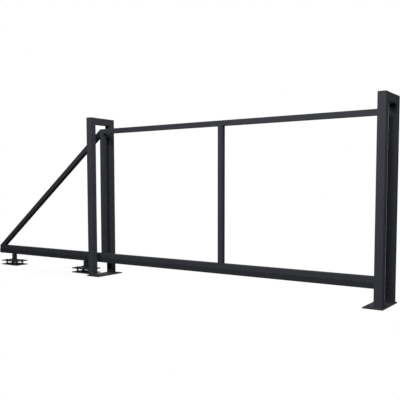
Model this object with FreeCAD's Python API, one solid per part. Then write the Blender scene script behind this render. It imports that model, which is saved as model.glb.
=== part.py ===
# Self-supporting (cantilever) sliding driveway gate, closed, in millimetres.
# Origin: middle of the underside of the guide portal's base plate, on the ground.
# +X runs along the gate to the catch portal, +Y to the far side, +Z up.
import FreeCAD
import Part
import math
import os

Vec = FreeCAD.Vector
ORIGIN = Vec(0, 0, 0)
X_AXIS = Vec(1, 0, 0)
Y_AXIS = Vec(0, 1, 0)
Z_AXIS = Vec(0, 0, 1)

# Portals: two square posts each, a crossbar between their heads and one base plate
post_size = 82.0
post_wall = 3.0
post_corner = 2.0
post_cap_thickness = 4.0
crossbar_height = 82.0
passage_width = 257.0
clear_opening = 3686.0
plate_thickness = 12.0
plate_margin = 15.0
plate_reach = 105.0
anchor_hole_diameter = 18.0
anchor_spacing = 300.0
anchor_edge_distance = 48.0

# Leaf: welded frame of square tube on a slotted running track
frame_size = 60.0
frame_wall = 3.0
frame_corner = 2.0
leaf_height = 1735.0
leaf_headroom = 55.0
leaf_rear_overlap = 26.0
leaf_front_overlap = 10.0
tail_overrun = 294.0
tail_cap_thickness = 3.0
front_cap_thickness = 5.0
brace_size = 60.0
brace_foot_setback = 7.0
brace_head_drop = 6.0

# Running track under the leaf: C section, slot downwards, plugged at the tail
track_size = 60.0
track_wall = 3.0
track_corner = 2.0
track_slot = 22.0
track_ground_gap = 163.0
track_plug_thickness = 8.0

# Roller carriages: two plates on threaded studs, a stem and a neck that carries the rollers
carriage_spacing = 1500.0
front_carriage_setback = 259.0
carriage_plate_length = 336.0
carriage_plate_width = 208.0
carriage_plate_thickness = 12.0
carriage_plate_gap = 43.0
stud_diameter = 20.0
stud_hole_clearance = 2.0
stud_pitch_x = 220.0
stud_pitch_y = 100.0
stud_projection = 13.0
nut_across_flats = 30.0
nut_height = 16.0
thread_clearance = 0.2
stem_size = 50.0
stem_track_clearance = 5.0
neck_thickness = 12.0
neck_length = 128.0
neck_taper_height = 24.0
neck_head_height = 15.0
neck_chamfer = 8.0
axle_diameter = 16.0
axle_pitch = 80.0
axle_end = 1.5
axle_clearance = 0.15
roller_width = 18.5
roller_side_play = 0.2
roller_running_gap = 0.3

# Places worked out from the sizes above
post_centre_y = (passage_width + post_size) / 2
plate_length_x = plate_margin + post_size + plate_reach
plate_length_y = passage_width + 2 * post_size + 2 * plate_margin
guide_post_x = plate_margin + post_size / 2 - plate_length_x / 2
opening_start = guide_post_x + post_size / 2
opening_end = opening_start + clear_opening
catch_post_x = opening_end + post_size / 2
catch_plate_x = catch_post_x + guide_post_x

front_carriage_x = guide_post_x - post_size / 2 - front_carriage_setback
rear_carriage_x = front_carriage_x - carriage_spacing

track_top = track_ground_gap + track_size
rail_top = track_top + frame_size
leaf_top = track_ground_gap + leaf_height
portal_height = leaf_top + leaf_headroom + crossbar_height
leaf_rear = opening_start - leaf_rear_overlap
leaf_front = opening_end + leaf_front_overlap
middle_stile_x = (leaf_rear + leaf_front) / 2
rails_front = leaf_front - front_cap_thickness
tail_end = rear_carriage_x - tail_overrun

upper_plate_bottom = carriage_plate_thickness + carriage_plate_gap
upper_plate_top = upper_plate_bottom + carriage_plate_thickness
stem_top = track_ground_gap - stem_track_clearance
neck_shoulder = stem_top + neck_taper_height
axle_height = track_ground_gap + track_size / 2
roller_radius = track_size / 2 - track_wall - roller_running_gap


def upright_box(width, depth, height):
    """Box standing on the origin, centred on the upright axis."""
    return Part.makeBox(width, depth, height, Vec(-width / 2, -depth / 2, 0))


def rounded_bar(size, corner, length):
    """Upright square bar with rounded edges, standing on the origin."""
    bar = upright_box(size, size, length)
    upright = [edge for edge in bar.Edges if abs(edge.tangentAt(edge.FirstParameter).z) > 0.5]
    return bar.makeFillet(corner, upright)


def square_tube(size, wall, corner, length):
    """Upright cold-formed square tube, standing on the origin."""
    inside = size - 2 * wall
    return rounded_bar(size, corner, length).cut(upright_box(inside, inside, length))


def laid_along(shape, direction):
    """Turn an upright shape so that its length runs along a direction."""
    turned = shape.copy()
    turned.Placement = FreeCAD.Placement(ORIGIN, FreeCAD.Rotation(Z_AXIS, direction))
    return turned


def moved(shape, x, y, z):
    """Copy of a shape, shifted."""
    return shape.translated(Vec(x, y, z))


def filled_outline(points):
    """Flat face inside a closed outline of straight edges."""
    return Part.Face(Part.makePolygon(points + points[:1]))


def side_prism(outline, thickness):
    """Solid with an outline of (x, z) points, its thickness centred on the leaf's plane."""
    face = filled_outline([Vec(x, -thickness / 2, z) for x, z in outline])
    return face.extrude(Vec(0, thickness, 0))


def export(name, solids):
    """Write the solids of one node."""
    shape = solids[0] if len(solids) == 1 else Part.makeCompound(solids)
    shape.exportStep("parts/" + name + ".step")


def base_plate(inward):
    """Portal base plate about its own middle, anchor holes on the side of the opening."""
    plate = upright_box(plate_length_x, plate_length_y, plate_thickness)
    hole_x = inward * (plate_length_x / 2 - anchor_edge_distance)
    for side in (-1, 1):
        centre = Vec(hole_x, side * anchor_spacing / 2, 0)
        plate = plate.cut(Part.makeCylinder(anchor_hole_diameter / 2, plate_thickness, centre))
    return plate


def build_portal(name, plate_x, post_x, inward):
    """Base plate, two posts with caps let into their heads, and the crossbar between them."""
    export(name + "_base_plate", [moved(base_plate(inward), plate_x, 0, 0)])
    post = square_tube(post_size, post_wall, post_corner, portal_height - plate_thickness)
    export(name + "_front_post", [moved(post, post_x, -post_centre_y, plate_thickness)])
    export(name + "_back_post", [moved(post, post_x, post_centre_y, plate_thickness)])
    cap_size = post_size - 2 * post_wall
    cap = upright_box(cap_size, cap_size, post_cap_thickness)
    cap_z = portal_height - post_cap_thickness
    export(name + "_post_caps", [moved(cap, post_x, side * post_centre_y, cap_z) for side in (-1, 1)])
    crossbar = laid_along(square_tube(crossbar_height, post_wall, post_corner, passage_width), Y_AXIS)
    crossbar_z = portal_height - crossbar_height / 2
    export(name + "_crossbar", [moved(crossbar, post_x, -passage_width / 2, crossbar_z)])


def build_track():
    """C section running track with its slot downwards and a plug on its tail end."""
    length = rails_front - tail_end
    slot = Part.makeBox(track_size / 2, track_slot, length, Vec(0, -track_slot / 2, 0))
    section = square_tube(track_size, track_wall, track_corner, length).cut(slot)
    centre_z = track_ground_gap + track_size / 2
    export("running_track", [moved(laid_along(section, X_AXIS), tail_end, 0, centre_z)])
    plug = laid_along(rounded_bar(track_size, track_corner, track_plug_thickness), X_AXIS)
    export("track_tail_plug", [moved(plug, tail_end - track_plug_thickness, 0, centre_z)])


def build_bottom_rail():
    """Bottom tube welded along the top of the track, with a cap let into its tail end."""
    centre_z = track_top + frame_size / 2
    tube = square_tube(frame_size, frame_wall, frame_corner, rails_front - tail_end)
    export("leaf_bottom_rail", [moved(laid_along(tube, X_AXIS), tail_end, 0, centre_z)])
    cap_size = frame_size - 2 * frame_wall
    cap = laid_along(upright_box(cap_size, cap_size, tail_cap_thickness), X_AXIS)
    export("bottom_rail_tail_cap", [moved(cap, tail_end, 0, centre_z)])


def build_leaf_frame():
    """Top rail mitred to the outer stiles, middle stile butted between the rails."""
    trim_width = 2 * frame_size
    rail_bottom = leaf_top - frame_size
    rail = square_tube(frame_size, frame_wall, frame_corner, leaf_front - leaf_rear)
    rail = moved(laid_along(rail, X_AXIS), leaf_rear, 0, leaf_top - frame_size / 2)
    rail_outline = [(leaf_rear, leaf_top), (leaf_front, leaf_top),
                    (leaf_front - frame_size, rail_bottom), (leaf_rear + frame_size, rail_bottom)]
    export("leaf_top_rail", [rail.common(side_prism(rail_outline, trim_width))])

    stile = square_tube(frame_size, frame_wall, frame_corner, leaf_top - rail_top)
    for name, outer_x, inner_x in (("leaf_rear_stile", leaf_rear, leaf_rear + frame_size),
                                   ("leaf_front_stile", leaf_front, leaf_front - frame_size)):
        outline = [(outer_x, rail_top), (inner_x, rail_top), (inner_x, rail_bottom), (outer_x, leaf_top)]
        upright = moved(stile, (outer_x + inner_x) / 2, 0, rail_top)
        export(name, [upright.common(side_prism(outline, trim_width))])

    middle = square_tube(frame_size, frame_wall, frame_corner, rail_bottom - rail_top)
    export("leaf_middle_stile", [moved(middle, middle_stile_x, 0, rail_top)])


def build_front_cap():
    """Flat plate that closes the front ends of the track and the bottom tube together."""
    cap = upright_box(front_cap_thickness, frame_size, rail_top - track_ground_gap)
    export("leaf_front_cap", [moved(cap, rails_front + front_cap_thickness / 2, 0, track_ground_gap)])


def build_tail_brace():
    """Diagonal tube from the tail end up to the rear top corner, cut to the rail and the stile."""
    foot = Vec(tail_end + brace_foot_setback, 0, rail_top)
    head = Vec(leaf_rear, 0, leaf_top - brace_head_drop)
    run = head - foot
    slope = run / run.Length
    to_middle = Vec(slope.z, 0, -slope.x) * (brace_size / 2)
    spare = 3 * brace_size
    tube = square_tube(brace_size, frame_wall, frame_corner, run.Length + 2 * spare)
    tube = laid_along(tube, slope).translated(foot + to_middle - slope * spare)
    outline = [(tail_end - spare, rail_top), (leaf_rear, rail_top),
               (leaf_rear, leaf_top + spare), (tail_end - spare, leaf_top + spare)]
    export("tail_brace", [tube.common(side_prism(outline, 2 * brace_size))])


def stud_places():
    """Centres of the four studs about the carriage's middle."""
    return [(i * stud_pitch_x / 2, j * stud_pitch_y / 2) for i in (-1, 1) for j in (-1, 1)]


def upper_plate():
    """Plate that carries the stem, drilled for the studs."""
    plate = upright_box(carriage_plate_length, carriage_plate_width, carriage_plate_thickness)
    hole_radius = (stud_diameter + stud_hole_clearance) / 2
    for x, y in stud_places():
        plate = plate.cut(Part.makeCylinder(hole_radius, carriage_plate_thickness, Vec(x, y, 0)))
    return plate


def hex_nut():
    """Hexagon nut standing on the origin, open for its stud."""
    corner_radius = nut_across_flats / 2 / math.cos(math.pi / 6)
    angles = [k * math.pi / 3 for k in range(6)]
    corners = [Vec(corner_radius * math.cos(a), corner_radius * math.sin(a), 0) for a in angles]
    body = filled_outline(corners).extrude(Vec(0, 0, nut_height))
    return body.cut(Part.makeCylinder((stud_diameter + thread_clearance) / 2, nut_height))


def neck_plate():
    """Plate on the stem that rises through the track's slot and widens inside it to the axles."""
    half = neck_length / 2
    top = axle_height + neck_head_height
    outline = [(-stem_size / 2, stem_top), (stem_size / 2, stem_top), (half, neck_shoulder),
               (half, top - neck_chamfer), (half - neck_chamfer, top), (neck_chamfer - half, top),
               (-half, top - neck_chamfer), (-half, neck_shoulder)]
    plate = side_prism(outline, neck_thickness)
    for x in (-axle_pitch / 2, axle_pitch / 2):
        start = Vec(x, -neck_thickness / 2, axle_height)
        plate = plate.cut(Part.makeCylinder(axle_diameter / 2, neck_thickness, start, Y_AXIS))
    return plate


def roller():
    """Track roller with its bore, lying along +Y from the origin."""
    bore_radius = axle_diameter / 2 + axle_clearance
    bore = Part.makeCylinder(bore_radius, roller_width, ORIGIN, Y_AXIS)
    return Part.makeCylinder(roller_radius, roller_width, ORIGIN, Y_AXIS).cut(bore)


def build_carriage(name, x):
    """Roller carriage: ground plate, studs, bearing nuts, upper plate, stem, neck, axles, rollers."""
    ground_plate = upright_box(carriage_plate_length, carriage_plate_width, carriage_plate_thickness)
    export(name + "_ground_plate", [moved(ground_plate, x, 0, 0)])
    export(name + "_upper_plate", [moved(upper_plate(), x, 0, upper_plate_bottom)])
    stud_length = upper_plate_top + stud_projection - carriage_plate_thickness
    stud = Part.makeCylinder(stud_diameter / 2, stud_length)
    export(name + "_studs", [moved(stud, x + i, j, carriage_plate_thickness) for i, j in stud_places()])
    nut_z = upper_plate_bottom - nut_height
    export(name + "_nuts", [moved(hex_nut(), x + i, j, nut_z) for i, j in stud_places()])
    stem = upright_box(stem_size, stem_size, stem_top - upper_plate_top)
    export(name + "_stem", [moved(stem, x, 0, upper_plate_top)])
    export(name + "_neck", [moved(neck_plate(), x, 0, 0)])

    roller_start = neck_thickness / 2 + roller_side_play
    axle_half = roller_start + roller_width + axle_end
    axle = Part.makeCylinder(axle_diameter / 2, 2 * axle_half, Vec(0, -axle_half, 0), Y_AXIS)
    axle_places = [x - axle_pitch / 2, x + axle_pitch / 2]
    export(name + "_axles", [moved(axle, place, 0, axle_height) for place in axle_places])
    near_and_far = (-roller_start - roller_width, roller_start)
    roller_places = [(place, y) for place in axle_places for y in near_and_far]
    export(name + "_rollers", [moved(roller(), place, y, axle_height) for place, y in roller_places])


os.makedirs("parts", exist_ok=True)
build_portal("guide", 0, guide_post_x, 1)
build_portal("catch", catch_plate_x, catch_post_x, -1)
build_track()
build_bottom_rail()
build_leaf_frame()
build_front_cap()
build_tail_brace()
build_carriage("front_carriage", front_carriage_x)
build_carriage("rear_carriage", rear_carriage_x)
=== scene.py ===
import math

import bmesh
import bpy
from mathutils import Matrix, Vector


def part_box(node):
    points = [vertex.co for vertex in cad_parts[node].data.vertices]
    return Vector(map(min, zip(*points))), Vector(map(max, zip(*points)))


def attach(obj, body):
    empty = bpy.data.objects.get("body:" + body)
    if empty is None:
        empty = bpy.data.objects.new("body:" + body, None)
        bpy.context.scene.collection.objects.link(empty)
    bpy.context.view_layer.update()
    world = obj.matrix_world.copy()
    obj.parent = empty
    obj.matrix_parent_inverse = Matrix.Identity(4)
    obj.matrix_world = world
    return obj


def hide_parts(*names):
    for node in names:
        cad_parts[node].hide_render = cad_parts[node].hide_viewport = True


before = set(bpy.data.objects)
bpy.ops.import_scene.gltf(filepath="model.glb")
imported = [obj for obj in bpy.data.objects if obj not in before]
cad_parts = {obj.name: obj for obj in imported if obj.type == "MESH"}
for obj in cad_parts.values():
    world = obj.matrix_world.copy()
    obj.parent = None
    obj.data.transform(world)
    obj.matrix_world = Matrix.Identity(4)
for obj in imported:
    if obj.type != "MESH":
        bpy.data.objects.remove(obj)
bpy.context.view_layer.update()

# Tubes and caps of the portals and the leaf: cold-formed square steel tube, sawn to length and welded.
# Each weldment is powder coated as a whole, a matt anthracite polyester film with a fine sandy grain,
# cured in the oven. The guide portal has a lighter copy of the coat: painted light on its tubes.
coat_dark = "#393B40"
coat_light = "#3C3E44"
# Painted light: a lighter copy of the same coat for the guide portal's tubes.
guide_coat_dark_with_painted_light = "#3E4045"
guide_coat_light_with_painted_light = "#414349"
coat_mirror = 0.02
coat_drift_mm = 420.0
coat_drift_stops = (0.3, 0.7)
coat_patch_mm = 70.0
coat_roughness = (0.68, 0.82)
grain_mm = 2.6
grain_height_mm = 0.33
grain_strength = 0.6
grain_tones = (0.82, 1.18)


def linear(hex_colour):
    """Linear RGBA of an sRGB hex colour."""
    values = [int(hex_colour[i:i + 2], 16) / 255 for i in (1, 3, 5)]
    return [v / 12.92 if v <= 0.04045 else ((v + 0.055) / 1.055) ** 2.4 for v in values] + [1.0]


def per_metre(size_mm):
    """Texture scale that gives a pattern of this size."""
    return 1000.0 / size_mm


def start_material(name):
    """New material, with its node tree and its surface shader."""
    material = bpy.data.materials.new(name)
    material.use_nodes = True
    tree = material.node_tree
    return material, tree, tree.nodes["Principled BSDF"]


def add_node(tree, kind, inputs, **settings):
    """Add a shader node; each input is a constant or a (node, output) pair to link from."""
    node = tree.nodes.new("ShaderNode" + kind)
    for name, value in settings.items():
        setattr(node, name, value)
    for socket, value in inputs.items():
        if isinstance(value, tuple):
            tree.links.new(value[0].outputs[value[1]], node.inputs[socket])
        else:
            node.inputs[socket].default_value = value
    return node


def powder_coat(name, dark, light):
    """Matt film: hardly any mirror image, its tone drifting a little with the film's thickness.

    The real grain is 0.4 mm wide and 0.05 mm high; it is drawn at 2.6 mm so that it shows from near by.
    """
    coat, tree, surface = start_material(name)
    surface.inputs["Specular IOR Level"].default_value = coat_mirror
    place = add_node(tree, "TexCoord", {})
    drift = add_node(tree, "TexNoise", {"Vector": (place, "Object"), "Scale": per_metre(coat_drift_mm),
                                        "Detail": 3.0})
    tone = add_node(tree, "ValToRGB", {"Fac": (drift, "Fac")})
    for stop, position, colour in zip(tone.color_ramp.elements, coat_drift_stops, (dark, light)):
        stop.position = position
        stop.color = linear(colour)
    patches = add_node(tree, "TexNoise", {"Vector": (place, "Object"), "Scale": per_metre(coat_patch_mm),
                                          "Detail": 2.0})
    gloss = add_node(tree, "MapRange", {"Value": (patches, "Fac"), "To Min": coat_roughness[0],
                                        "To Max": coat_roughness[1]})
    grain = add_node(tree, "TexNoise", {"Vector": (place, "Object"), "Scale": per_metre(grain_mm),
                                        "Detail": 2.0})
    grit = add_node(tree, "MapRange", {"Value": (grain, "Fac"), "From Min": 0.3, "From Max": 0.7,
                                       "To Min": grain_tones[0], "To Max": grain_tones[1]})
    film = add_node(tree, "HueSaturation", {"Color": (tone, "Color"), "Value": (grit, "Result")})
    relief = add_node(tree, "Bump", {"Height": (grain, "Fac"), "Strength": grain_strength,
                                     "Distance": grain_height_mm / 1000})
    tree.links.new(film.outputs["Color"], surface.inputs["Base Color"])
    tree.links.new(gloss.outputs["Result"], surface.inputs["Roughness"])
    tree.links.new(relief.outputs["Normal"], surface.inputs["Normal"])
    return coat


def dress(names, finish):
    """Give CAD nodes their finish."""
    for name in names:
        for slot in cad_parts[name].material_slots:
            slot.material = finish


anthracite = powder_coat("powder_coated_steel", coat_dark, coat_light)
# The guide portal's tubes get the lighter copy of the coat, painted light.
painted_light_anthracite = powder_coat("powder_coated_guide_steel_painted_light", guide_coat_dark_with_painted_light, guide_coat_light_with_painted_light)
portal_coats = {"guide": painted_light_anthracite, "catch": anthracite}
for portal, coat in portal_coats.items():
    dress([portal + part for part in ("_front_post", "_back_post", "_post_caps", "_crossbar")], coat)
dress(("leaf_bottom_rail", "bottom_rail_tail_cap", "leaf_top_rail", "leaf_rear_stile",
       "leaf_middle_stile", "leaf_front_stile", "leaf_front_cap", "tail_brace"), anthracite)

# Base plates: 12 mm hot-rolled flat under each pair of posts, cut to size and drilled for two anchors.
# The coat rounds every cut edge a little, the rims of the holes too; a darker copy of it is painted shade.
# Painted shade: a darker copy of the same coat for the base plates.
plate_coat_dark_with_painted_shade = "#34363B"
plate_coat_light_with_painted_shade = "#37393E"
edge_ease = 0.0012
edge_segments = 2
sharp_angle = math.radians(40)
smooth_angle = math.radians(35)
hole_facets = 48
anchor_hole_radius = 0.009
anchor_inset = 0.048
anchor_half_spacing = 0.150
stationary = "portals_and_carriages"


def solid_at(low, high):
    """Start a block between two corners."""
    bpy.ops.object.select_all(action="DESELECT")
    bpy.ops.mesh.primitive_cube_add(size=1.0, location=(low + high) / 2, scale=high - low)
    bpy.ops.object.transform_apply()
    return bpy.context.object


def apply_modifier(piece, kind, **settings):
    """Add a modifier to a piece, set it up and apply it."""
    bpy.context.view_layer.objects.active = piece
    modifier = piece.modifiers.new(kind.lower(), kind)
    for name, value in settings.items():
        setattr(modifier, name, value)
    bpy.ops.object.modifier_apply(modifier=modifier.name)


def drill(piece, x, y, radius):
    """Drill an upright hole right through a piece."""
    heights = [corner[2] for corner in piece.bound_box]
    top, bottom = max(heights), min(heights)
    bpy.ops.mesh.primitive_cylinder_add(vertices=hole_facets, radius=radius, depth=3 * (top - bottom),
                                        location=(x, y, (top + bottom) / 2))
    bit = bpy.context.object
    apply_modifier(piece, "BOOLEAN", object=bit, operation="DIFFERENCE", solver="EXACT")
    bpy.data.objects.remove(bit)


def ease_edges(piece, width):
    """Round the sharp edges and shade the roundings smoothly."""
    apply_modifier(piece, "BEVEL", width=width, segments=edge_segments, limit_method="ANGLE",
                   angle_limit=sharp_angle, use_clamp_overlap=True)
    bpy.ops.object.select_all(action="DESELECT")
    piece.select_set(True)
    bpy.ops.object.shade_smooth_by_angle(angle=smooth_angle)


def finish_piece(piece, name, finish, body):
    """Name a piece, give it its finish and let it ride on its body."""
    piece.name = name
    piece.data.name = name
    piece.data.materials.clear()
    piece.data.materials.append(finish)
    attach(piece, body)


# The base plates get the darker copy of the coat, painted shade.
painted_shade_plate_anthracite = powder_coat("powder_coated_plate_steel_painted_shade", plate_coat_dark_with_painted_shade, plate_coat_light_with_painted_shade)
for portal, inward in (("guide", 1), ("catch", -1)):
    low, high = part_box(portal + "_base_plate")
    plate = solid_at(low, high)
    hole_x = (high.x if inward > 0 else low.x) - inward * anchor_inset
    for y in (-anchor_half_spacing, anchor_half_spacing):
        drill(plate, hole_x, y, anchor_hole_radius)
    ease_edges(plate, edge_ease)
    finish_piece(plate, portal + "_foot_plate", painted_shade_plate_anthracite, stationary)
    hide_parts(portal + "_base_plate")

# Welds of the portals: posts filleted all round onto their plates, crossbars filled in at the rounded
# corners of the posts and filleted underneath. Each bead shows the ripples of the torch under the coat.
ripple_length = 0.0045
ripple_depth = 0.78
bead_facets = 8
bead_smooth_angle = math.radians(50)
fillet_radius = 0.0042
groove_radius = 0.0030
groove_sink = 0.0018
post_corner = 0.002


def pick(piece, kind, wanted):
    """In edit mode, select just the vertices, edges or faces that are wanted."""
    bpy.ops.mesh.select_mode(type=kind)
    bpy.ops.mesh.select_all(action="DESELECT")
    shape = bmesh.from_edit_mesh(piece.data)
    for item in {"VERT": shape.verts, "EDGE": shape.edges, "FACE": shape.faces}[kind]:
        item.select_set(bool(wanted(item)))
    bmesh.update_edit_mesh(piece.data)


def join_pieces(pieces):
    """Join pieces into the first one."""
    bpy.ops.object.select_all(action="DESELECT")
    for piece in pieces:
        piece.select_set(True)
    bpy.context.view_layer.objects.active = pieces[0]
    if len(pieces) > 1:
        bpy.ops.object.join()
    return pieces[0]


def weld_bead(start, end, radius):
    """One pass of weld: a round bead along the seam, pinched in between its ripples."""
    run = Vector(end) - Vector(start)
    ripples = max(2, round(run.length / ripple_length))
    bpy.ops.object.select_all(action="DESELECT")
    bpy.ops.mesh.primitive_cylinder_add(vertices=bead_facets, radius=radius, depth=run.length)
    bead = bpy.context.object
    half = run.length / 2
    step = half / ripples
    bpy.ops.object.mode_set(mode="EDIT")
    pick(bead, "EDGE", lambda edge: abs(edge.verts[0].co.z - edge.verts[1].co.z) > half)
    bpy.ops.mesh.subdivide(number_cuts=2 * ripples - 1)
    pick(bead, "VERT", lambda vertex: round((vertex.co.z + half) / step) % 2 == 0)
    bpy.ops.transform.resize(value=(ripple_depth, ripple_depth, 1.0), center_override=(0.0, 0.0, 0.0))
    bpy.ops.object.mode_set(mode="OBJECT")
    bpy.ops.object.shade_smooth_by_angle(angle=bead_smooth_angle)
    bead.rotation_euler = run.to_track_quat("Z", "Y").to_euler()
    bead.location = (Vector(start) + Vector(end)) / 2
    bpy.ops.object.transform_apply()
    return bead


def weld_seams(name, seams, finish, body):
    """All the beads of one weldment, each from a start to an end point with its radius."""
    welds = join_pieces([weld_bead(start, end, radius) for start, end, radius in seams])
    finish_piece(welds, name, finish, body)


def around_foot(low, high, z):
    """Fillets along the four sides of an upright tube at a given height."""
    corners = [(low.x, low.y, z), (high.x, low.y, z), (high.x, high.y, z), (low.x, high.y, z)]
    return [(a, b, fillet_radius) for a, b in zip(corners, corners[1:] + corners[:1])]


for portal, coat in portal_coats.items():
    seams = []
    for post in ("_front_post", "_back_post"):
        low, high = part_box(portal + post)
        seams += around_foot(low, high, low.z)
    low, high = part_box(portal + "_crossbar")
    for y in (low.y, high.y):
        seams.append(((low.x + post_corner, y, low.z), (high.x - post_corner, y, low.z), fillet_radius))
        groove_y = y + math.copysign(post_corner / 2, y)
        for x in (low.x + groove_sink, high.x - groove_sink):
            foot = (x, groove_y, low.z + post_corner)
            head = (x, groove_y, high.z - post_corner)
            seams.append((foot, head, groove_radius))
    weld_seams(portal + "_portal_welds", seams, coat, stationary)

# Running track: a cold-rolled C section under the bottom rail, coated in a deeper tone than the tubes.
# Short stitch welds in the V between the rounded corners hold it to the rail on both sides.
track_dark = "#2F3135"
track_light = "#323439"
stitch_length = 0.060
stitch_pitch = 0.291
stitch_radius = 0.0034
stitch_sink = 0.0020

deep_anthracite = powder_coat("powder_coated_track_steel", track_dark, track_light)
dress(["running_track"], deep_anthracite)
low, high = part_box("running_track")
count = int((high.x - low.x - stitch_length) / stitch_pitch)
first = (low.x + high.x - count * stitch_pitch) / 2
stitches = []
for side in (low.y + stitch_sink, high.y - stitch_sink):
    for i in range(count + 1):
        middle = first + i * stitch_pitch
        start = (middle - stitch_length / 2, side, high.z)
        end = (middle + stitch_length / 2, side, high.z)
        stitches.append((start, end, stitch_radius))
weld_seams("track_stitch_welds", stitches, deep_anthracite, "leaf")

# Welds of the leaf: stiles filleted to the rails across their width and filled in along the rounded
# edges; the mitred top corners are welded over the faces, dressed low, and filleted inside.
frame_corner = 0.002
mitre_sink = 0.0024
leaf_low, leaf_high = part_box("leaf_top_rail")
rail_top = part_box("leaf_bottom_rail")[1].z
tube = leaf_high.z - leaf_low.z
near, far = leaf_low.y, leaf_high.y


def across(x, z):
    """Fillet across the leaf's thickness."""
    return (x, near + frame_corner, z), (x, far - frame_corner, z), fillet_radius


def along_edges(start, end):
    """Filled grooves on both faces of the leaf between two (x, z) points."""
    return [((start[0], y, start[1]), (end[0], y, end[1]), groove_radius)
            for y in (near + groove_sink, far - groove_sink)]


seams = []
for stile in ("leaf_rear_stile", "leaf_middle_stile", "leaf_front_stile"):
    low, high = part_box(stile)
    foot_z = rail_top - frame_corner / 2
    seams += along_edges((low.x + frame_corner, foot_z), (high.x - frame_corner, foot_z))
    if stile != "leaf_rear_stile":
        seams.append(across(low.x, rail_top))
    if stile != "leaf_front_stile":
        seams.append(across(high.x, rail_top))
low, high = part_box("leaf_middle_stile")
head_z = leaf_low.z + frame_corner / 2
seams += along_edges((low.x + frame_corner, head_z), (high.x - frame_corner, head_z))
seams += [across(low.x, leaf_low.z), across(high.x, leaf_low.z)]
for outer_x, inner_x in ((leaf_low.x, leaf_low.x + tube), (leaf_high.x, leaf_high.x - tube)):
    seams.append(across(inner_x, leaf_low.z))
    corner = math.copysign(frame_corner, inner_x - outer_x)
    for y in (near + mitre_sink, far - mitre_sink):
        outer = (outer_x + corner, y, leaf_high.z - frame_corner)
        inner = (inner_x - corner, y, leaf_low.z + frame_corner)
        seams.append((outer, inner, groove_radius))
seams.append(across(leaf_low.x, rail_top))
weld_seams("leaf_frame_welds", seams, anthracite, "leaf")

# Welds of the tail brace: the sloping tube is cut flush onto the rail and against the rear stile,
# filleted across both ends and filled in along both faces.
foot_setback = 0.007
head_drop = 0.006
low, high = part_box("tail_brace")
brace_size = high.y - low.y
foot_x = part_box("leaf_bottom_rail")[0].x + foot_setback
head_z = leaf_high.z - head_drop
slope = math.atan2(head_z - rail_top, leaf_low.x - foot_x)
inner_foot_x = foot_x + brace_size / math.sin(slope)
inner_head_z = head_z - brace_size / math.cos(slope)
groove_z = rail_top - frame_corner / 2
groove_x = leaf_low.x + frame_corner / 2
seams = [across(foot_x, rail_top), across(inner_foot_x, rail_top),
         across(leaf_low.x, head_z), across(leaf_low.x, inner_head_z)]
seams += along_edges((foot_x + frame_corner, groove_z), (inner_foot_x - frame_corner, groove_z))
seams += along_edges((groove_x, inner_head_z + frame_corner), (groove_x, head_z - frame_corner))
weld_seams("tail_brace_welds", seams, anthracite, "leaf")

# Plug on the tail end of the track: moulded black polyamide, pushed on over the open C section.
# The mould rounds its outer rim and dishes its face; a spark-eroded cavity leaves a fine even grain
# and a dull sheen. The real grain is about 0.1 mm; it is drawn at 1.2 mm so that it shows.
plug_black = "#151617"
plug_grain_mm = 1.2
plug_grain_height_mm = 0.1
plug_grain_strength = 0.3
plug_roughness = (0.42, 0.58)
plug_mirror = 0.12
polyamide_ior = 1.53
plug_corner = 0.005
plug_corner_segments = 5
plug_rim = 0.004
plug_dish = 0.0012
plug_ease = 0.001

polyamide, tree, surface = start_material("moulded_polyamide")
surface.inputs["Base Color"].default_value = linear(plug_black)
surface.inputs["IOR"].default_value = polyamide_ior
surface.inputs["Specular IOR Level"].default_value = plug_mirror
place = add_node(tree, "TexCoord", {})
grain = add_node(tree, "TexNoise", {"Vector": (place, "Object"), "Scale": per_metre(plug_grain_mm),
                                    "Detail": 2.0})
sheen = add_node(tree, "MapRange", {"Value": (grain, "Fac"), "To Min": plug_roughness[0],
                                    "To Max": plug_roughness[1]})
relief = add_node(tree, "Bump", {"Height": (grain, "Fac"), "Strength": plug_grain_strength,
                                 "Distance": plug_grain_height_mm / 1000})
tree.links.new(sheen.outputs["Result"], surface.inputs["Roughness"])
tree.links.new(relief.outputs["Normal"], surface.inputs["Normal"])

low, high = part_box("track_tail_plug")
plug = solid_at(low, high)
bpy.ops.object.mode_set(mode="EDIT")
pick(plug, "EDGE", lambda edge: abs(edge.verts[0].co.x - edge.verts[1].co.x) > 1e-4)
bpy.ops.mesh.bevel(offset=plug_corner, segments=plug_corner_segments)
pick(plug, "FACE", lambda face: face.normal.x < -0.9)
bpy.ops.mesh.inset(thickness=plug_rim)
bpy.ops.transform.translate(value=(plug_dish, 0.0, 0.0))
bpy.ops.object.mode_set(mode="OBJECT")
ease_edges(plug, plug_ease)
finish_piece(plug, "track_end_plug", polyamide, "leaf")
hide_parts("track_tail_plug")

# Roller carriages: a ground plate and an upper plate of 12 mm flat, the upper one drilled for the studs;
# a square stem welded on it and the neck plate that rises into the track. Coated deep like the track.
stud_half_x = 0.110
stud_half_y = 0.050
stud_hole_radius = 0.011


def stud_places(x):
    """Centres of a carriage's four studs."""
    return [(x + i * stud_half_x, j * stud_half_y) for i in (-1, 1) for j in (-1, 1)]


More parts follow.
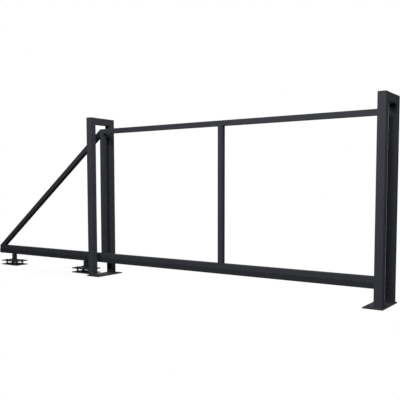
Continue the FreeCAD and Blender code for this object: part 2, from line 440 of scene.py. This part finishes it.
for carriage in ("front_carriage", "rear_carriage"):
    low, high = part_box(carriage + "_upper_plate")
    upper = solid_at(low, high)
    for x, y in stud_places((low.x + high.x) / 2):
        drill(upper, x, y, stud_hole_radius)
    ease_edges(upper, edge_ease)
    finish_piece(upper, carriage + "_top_plate", deep_anthracite, stationary)
    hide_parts(carriage + "_upper_plate")

    sole = solid_at(*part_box(carriage + "_ground_plate"))
    ease_edges(sole, edge_ease)
    finish_piece(sole, carriage + "_sole_plate", deep_anthracite, stationary)
    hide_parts(carriage + "_ground_plate")

    stem_low, stem_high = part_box(carriage + "_stem")
    stem = solid_at(stem_low, stem_high)
    ease_edges(stem, edge_ease)
    finish_piece(stem, carriage + "_pillar", deep_anthracite, stationary)
    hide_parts(carriage + "_stem")

    dress([carriage + "_neck"], deep_anthracite)
    neck_low, neck_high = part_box(carriage + "_neck")
    seams = around_foot(stem_low, stem_high, stem_low.z)
    for y in (neck_low.y, neck_high.y):
        seams.append(((stem_low.x, y, stem_high.z), (stem_high.x, y, stem_high.z), fillet_radius))
    weld_seams(carriage + "_welds", seams, deep_anthracite, stationary)

# Studs and nuts that level the carriages: M20 threaded rod and hexagon nuts, blackened by hot oxide
# and oiled, a cloudy near black with a soft oily sheen. On each stud, from below: a nut on the ground
# plate, a bearing nut and a thin lock nut.
oxide_dark = "#141516"
oxide_light = "#26282A"
oxide_patch_mm = 9.0
oxide_stops = (0.35, 0.7)
oxide_metallic = 0.75
oxide_roughness = (0.38, 0.6)
stud_radius = 0.010
stud_facets = 32
stud_end_chamfer = 0.0012
thread_root_radius = 0.0084
thread_sink = 0.0002
thread_pitch = 0.0025
thread_base_share = 0.9
thread_crest_share = 0.16
thread_steps = 20
nut_flats = 0.030
nut_height = 0.016
lock_nut_height = 0.010
nut_chamfer = 0.0022
nut_bore_play = 0.0001
nut_facets = 64
nut_smooth_angle = math.radians(25)

oxide, tree, surface = start_material("blackened_steel")
surface.inputs["Metallic"].default_value = oxide_metallic
place = add_node(tree, "TexCoord", {})
blotch = add_node(tree, "TexNoise", {"Vector": (place, "Object"), "Scale": per_metre(oxide_patch_mm),
                                     "Detail": 4.0})
tone = add_node(tree, "ValToRGB", {"Fac": (blotch, "Fac")})
for stop, position, colour in zip(tone.color_ramp.elements, oxide_stops, (oxide_dark, oxide_light)):
    stop.position = position
    stop.color = linear(colour)
oil = add_node(tree, "MapRange", {"Value": (blotch, "Fac"), "To Min": oxide_roughness[0],
                                  "To Max": oxide_roughness[1]})
tree.links.new(tone.outputs["Color"], surface.inputs["Base Color"])
tree.links.new(oil.outputs["Result"], surface.inputs["Roughness"])


def turned(radius, height, facets):
    """Start a round piece standing on the origin."""
    bpy.ops.object.select_all(action="DESELECT")
    bpy.ops.mesh.primitive_cylinder_add(vertices=facets, radius=radius, depth=height,
                                        location=(0, 0, height / 2))
    bpy.ops.object.transform_apply()
    return bpy.context.object


def chamfer_rims(piece, offset):
    """Chamfer the two end rims of a round piece."""
    bpy.ops.object.mode_set(mode="EDIT")
    pick(piece, "EDGE", lambda edge: abs(edge.verts[0].co.z - edge.verts[1].co.z) < 1e-6)
    bpy.ops.mesh.bevel(offset=offset, segments=1)
    bpy.ops.object.mode_set(mode="OBJECT")


def threaded_stud(length):
    """Rod with a rolled thread: a core with chamfered ends and one ridge wound round it."""
    core = turned(thread_root_radius + thread_sink, length, stud_facets)
    chamfer_rims(core, stud_end_chamfer)
    bpy.ops.object.select_all(action="DESELECT")
    ridge_depth = stud_radius - thread_root_radius
    bpy.ops.mesh.primitive_plane_add(size=1.0, rotation=(math.radians(90), 0.0, 0.0))
    ridge = bpy.context.object
    ridge.scale = (ridge_depth, thread_pitch * thread_base_share, 1.0)
    ridge.location = (thread_root_radius + ridge_depth / 2, 0.0, thread_pitch)
    bpy.ops.object.transform_apply()
    bpy.ops.object.mode_set(mode="EDIT")
    pick(ridge, "VERT", lambda vertex: vertex.co.x > thread_root_radius + ridge_depth / 2)
    bpy.ops.transform.resize(value=(1.0, 1.0, thread_crest_share), center_override=(0.0, 0.0, thread_pitch))
    bpy.ops.mesh.select_all(action="SELECT")
    bpy.ops.mesh.delete(type="ONLY_FACE")
    bpy.ops.object.mode_set(mode="OBJECT")
    turns = int(length / thread_pitch) - 2
    apply_modifier(ridge, "SCREW", axis="Z", angle=math.tau, screw_offset=thread_pitch, iterations=turns,
                   steps=thread_steps, render_steps=thread_steps)
    bpy.ops.object.mode_set(mode="EDIT")
    bpy.ops.mesh.select_all(action="SELECT")
    bpy.ops.mesh.remove_doubles(threshold=1e-6)
    bpy.ops.mesh.fill_holes(sides=4)
    bpy.ops.mesh.select_all(action="SELECT")
    bpy.ops.mesh.normals_make_consistent(inside=False)
    bpy.ops.object.mode_set(mode="OBJECT")
    return join_pieces([core, ridge])


def hexagon_nut(height):
    """Nut standing on the origin: hexagon bar, its corners turned off at both ends, bored for the stud."""
    corner_radius = nut_flats / math.sqrt(3)
    nut = turned(corner_radius, height, 6)
    barrel = turned(corner_radius, height, nut_facets)
    chamfer_rims(barrel, nut_chamfer)
    apply_modifier(nut, "BOOLEAN", object=barrel, operation="INTERSECT", solver="EXACT")
    bpy.data.objects.remove(barrel)
    drill(nut, 0.0, 0.0, stud_radius + nut_bore_play)
    bpy.ops.object.select_all(action="DESELECT")
    nut.select_set(True)
    bpy.ops.object.shade_smooth_by_angle(angle=nut_smooth_angle)
    return nut


def copies_at(piece, places):
    """Copies of a piece at a list of places, each with its own mesh, joined into one piece."""
    copies = []
    for place in places:
        bpy.ops.object.select_all(action="DESELECT")
        piece.select_set(True)
        bpy.context.view_layer.objects.active = piece
        bpy.ops.object.duplicate(linked=False)
        bpy.context.object.location = place
        bpy.ops.object.transform_apply()
        copies.append(bpy.context.object)
    return join_pieces(copies)


stud_low, stud_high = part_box("front_carriage_studs")
stud_master = threaded_stud(stud_high.z - stud_low.z)
nut_master = hexagon_nut(nut_height)
lock_nut_master = hexagon_nut(lock_nut_height)
for carriage in ("front_carriage", "rear_carriage"):
    low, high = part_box(carriage + "_upper_plate")
    places = stud_places((low.x + high.x) / 2)
    studs = copies_at(stud_master, [(x, y, stud_low.z) for x, y in places])
    finish_piece(studs, carriage + "_threaded_studs", oxide, stationary)
    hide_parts(carriage + "_studs")

    bearing = copies_at(nut_master, [(x, y, low.z - nut_height) for x, y in places])
    finish_piece(bearing, carriage + "_bearing_nuts", oxide, stationary)
    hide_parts(carriage + "_nuts")

    fixing = copies_at(nut_master, [(x, y, stud_low.z) for x, y in places])
    locking = copies_at(lock_nut_master, [(x, y, high.z) for x, y in places])
    fixing = join_pieces([fixing, locking])
    finish_piece(fixing, carriage + "_fixing_nuts", oxide, stationary)
for master in (stud_master, nut_master, lock_nut_master):
    bpy.data.objects.remove(master)

# Axles and rollers inside the track: turned from bar, zinc plated and pressed into the necks.
# The plating gives a pale metal with the faint cloudy spangle of the bath.
zinc_dark = "#9DA1A3"
zinc_light = "#BDC0BF"
zinc_cloud_mm = 6.0
zinc_stops = (0.35, 0.65)
zinc_roughness = (0.28, 0.42)

zinc, tree, surface = start_material("zinc_plated_steel")
surface.inputs["Metallic"].default_value = 1.0
place = add_node(tree, "TexCoord", {})
cloud = add_node(tree, "TexNoise", {"Vector": (place, "Object"), "Scale": per_metre(zinc_cloud_mm),
                                    "Detail": 3.0})
tone = add_node(tree, "ValToRGB", {"Fac": (cloud, "Fac")})
for stop, position, colour in zip(tone.color_ramp.elements, zinc_stops, (zinc_dark, zinc_light)):
    stop.position = position
    stop.color = linear(colour)
wear = add_node(tree, "MapRange", {"Value": (cloud, "Fac"), "To Min": zinc_roughness[0],
                                   "To Max": zinc_roughness[1]})
tree.links.new(tone.outputs["Color"], surface.inputs["Base Color"])
tree.links.new(wear.outputs["Result"], surface.inputs["Roughness"])
for carriage in ("front_carriage", "rear_carriage"):
    dress((carriage + "_axles", carriage + "_rollers"), zinc)

# Floor: a plain pale studio floor, white to the camera and in reflections.
# It keeps the object's soft shadow and gives little light back, as a matt sheet does.
floor_size = (17.0, 13.0, 1.0)
floor_middle = (-0.5, 0.0, -0.0005)
floor_grey = "#3E3E3E"
floor_glow = 0.94


def seen_directly(tree):
    """Node that is 1 for camera, glossy and transmission rays and 0 for the rest."""
    rays = add_node(tree, "LightPath", {})
    seen = add_node(tree, "Math", {0: (rays, "Is Camera Ray"), 1: (rays, "Is Glossy Ray")},
                    operation="MAXIMUM")
    return add_node(tree, "Math", {0: (seen, 0), 1: (rays, "Is Transmission Ray")}, operation="MAXIMUM")


bpy.ops.object.select_all(action="DESELECT")
bpy.ops.mesh.primitive_plane_add(size=1.0, location=floor_middle, scale=floor_size)
floor = bpy.context.object
floor.name = "studio_floor"
bpy.ops.object.transform_apply()
matt_sheet, tree, surface = start_material("matt_floor_sheet")
tree.nodes.remove(surface)
glow_level = add_node(tree, "Math", {0: (seen_directly(tree), 0), 1: floor_glow}, operation="MULTIPLY")
glow = add_node(tree, "Emission", {"Strength": (glow_level, 0)})
matt = add_node(tree, "BsdfDiffuse", {"Color": linear(floor_grey)})
both = add_node(tree, "AddShader", {0: (glow, 0), 1: (matt, 0)})
tree.links.new(both.outputs[0], tree.nodes["Material Output"].inputs["Surface"])
floor.data.materials.append(matt_sheet)

# Studio: a plain white room, full white to the camera and in reflections.
# On the object itself it is only a dim even light, so that the soft boxes shape it.
ambient = 0.03
room = bpy.data.worlds.new("studio")
room.use_nodes = True
bpy.context.scene.world = room
tree = room.node_tree
level = add_node(tree, "MapRange", {"Value": (seen_directly(tree), 0), "To Min": ambient, "To Max": 1.0})
tree.links.new(level.outputs["Result"], tree.nodes["Background"].inputs["Strength"])
tree.nodes["Background"].inputs["Color"].default_value = (1, 1, 1, 1)


# Lights: a large soft box in front of the gate, high and towards the catch portal, a weaker one beyond
# the catch portal that opens up the side faces, and two high behind the gate for its far side and tail.
def soft_box(name, location, target, width, height, watts):
    """Rectangular area light that faces a point."""
    bpy.ops.object.light_add(type="AREA", location=location)
    lamp = bpy.context.object
    lamp.name = name
    lamp.data.shape = "RECTANGLE"
    lamp.data.size = width
    lamp.data.size_y = height
    lamp.data.energy = watts
    lamp.rotation_euler = (Vector(target) - lamp.location).to_track_quat("-Z", "Y").to_euler()


soft_box("key_soft_box", (3.2, -5.2, 5.2), (2.2, 0.0, 1.2), width=5.0, height=3.0, watts=525.0)
soft_box("side_soft_box", (9.0, -2.0, 5.5), (1.0, 0.0, 1.0), width=4.0, height=4.0, watts=145.0)
soft_box("tail_soft_box", (-6.5, 4.5, 6.0), (0.3, 0.0, 1.0), width=6.0, height=3.0, watts=650.0)
soft_box("back_soft_box", (3.5, 8.5, 6.5), (1.5, 0.0, 1.0), width=6.0, height=3.0, watts=240.0)

# Camera: where the photograph was taken from, in front of the gate at chest height and a little
# beyond the catch portal, looking slightly down along the leaf.
camera_place = (5.5159, -5.6666, 1.1570)
camera_dip = math.radians(4.063)
camera_turn = math.radians(34.064)
bpy.ops.object.camera_add(location=camera_place, rotation=(math.radians(90) - camera_dip, 0.0, camera_turn))
camera = bpy.context.object
camera.name = "photo_camera"
camera.data.sensor_width = 36.0
camera.data.lens = 53.48
camera.data.shift_x = -0.02635
camera.data.shift_y = 0.0721
bpy.context.scene.camera = camera
bpy.context.scene.view_settings.view_transform = "Standard"
